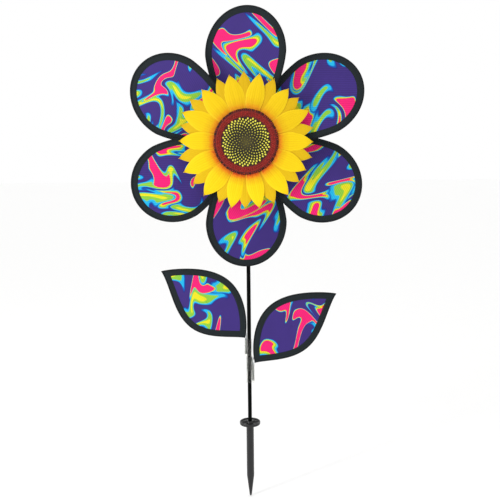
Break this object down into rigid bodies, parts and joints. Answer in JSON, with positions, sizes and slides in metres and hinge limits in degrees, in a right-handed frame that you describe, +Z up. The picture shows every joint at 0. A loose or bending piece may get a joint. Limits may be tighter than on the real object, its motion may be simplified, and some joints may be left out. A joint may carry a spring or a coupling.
{
  "type": "wind spinner",
  "caption": "Flower-shaped garden wind spinner: a pitched-petal cloth wheel on an axle at the top of a thin pole, with cloth leaves and a ground stake.",
  "frame": {"origin": "centre of the underside of the stake's flange, at ground level on the pole's axis", "axes": "+Z up along the pole, -Y towards the side that the flower faces, +X to the right seen from that side"},
  "size_m": [0.276, 0.0575, 0.6124],
  "materials": {
    "stake_plastic": "moulded black plastic",
    "pole_rod": "black coated glass-fibre rod",
    "ferrule_sleeve": "black sleeve with rolled ends",
    "hub_plastic": "moulded black plastic",
    "axle_steel": "plain steel",
    "washer_nylon": "natural nylon",
    "spring_wire": "drawn spring wire",
    "printed_cloth": "ripstop cloth with a marbled print",
    "binding_tape": "folded black tape, stitched",
    "backing_board": "white plastic sheet",
    "sunflower_print": "printed foam sheet",
    "clear_vinyl": "clear flexible tube"
  },
  "bodies": {
    "stake": {"ground_stake": "stake_plastic"},
    "stem": {"lower_pole": "pole_rod", "pole_ferrule": "ferrule_sleeve", "upper_pole": "pole_rod", "stem_head": "hub_plastic", "axle_pin": "axle_steel", "rear_washer": "washer_nylon", "front_washer": "washer_nylon", "push_cap": "axle_steel"},
    "wheel": {"wheel_hub": "hub_plastic", "petal_frame_1": "spring_wire", "petal_frame_2": "spring_wire", "petal_frame_3": "spring_wire", "petal_frame_4": "spring_wire", "petal_frame_5": "spring_wire", "petal_frame_6": "spring_wire", "petal_panel_1": "printed_cloth", "petal_panel_2": "printed_cloth", "petal_panel_3": "printed_cloth", "petal_panel_4": "printed_cloth", "petal_panel_5": "printed_cloth", "petal_panel_6": "printed_cloth", "petal_binding_1": "binding_tape", "petal_binding_2": "binding_tape", "petal_binding_3": "binding_tape", "petal_binding_4": "binding_tape", "petal_binding_5": "binding_tape", "petal_binding_6": "binding_tape", "sunflower_backing": "backing_board", "sunflower_face": "sunflower_print"},
    "left_leaf": {"left_leaf_frame": "spring_wire", "left_leaf_panel": "printed_cloth", "left_leaf_binding": "binding_tape", "left_leaf_tube": "clear_vinyl"},
    "right_leaf": {"right_leaf_frame": "spring_wire", "right_leaf_panel": "printed_cloth", "right_leaf_binding": "binding_tape", "right_leaf_tube": "clear_vinyl"}
  },
  "joints": [
    {"name": "stem_turn", "type": "hinge", "parent": "stake", "child": "stem", "pos_m": [0, 0, 0], "axis": [0, 0, 1], "range_deg": [-180, 180]},
    {"name": "wheel_spin", "type": "hinge", "parent": "stem", "child": "wheel", "pos_m": [0, -0.028, 0.362], "axis": [0, -1, 0], "continuous": true},
    {"name": "left_leaf_swing", "type": "hinge", "parent": "stem", "child": "left_leaf", "pos_m": [0, 0, 0.1], "axis": [0, 0, 1], "range_deg": [-70, 70]},
    {"name": "right_leaf_swing", "type": "hinge", "parent": "stem", "child": "right_leaf", "pos_m": [0, 0, 0.073], "axis": [0, 0, 1], "range_deg": [-70, 70]}
  ]
}
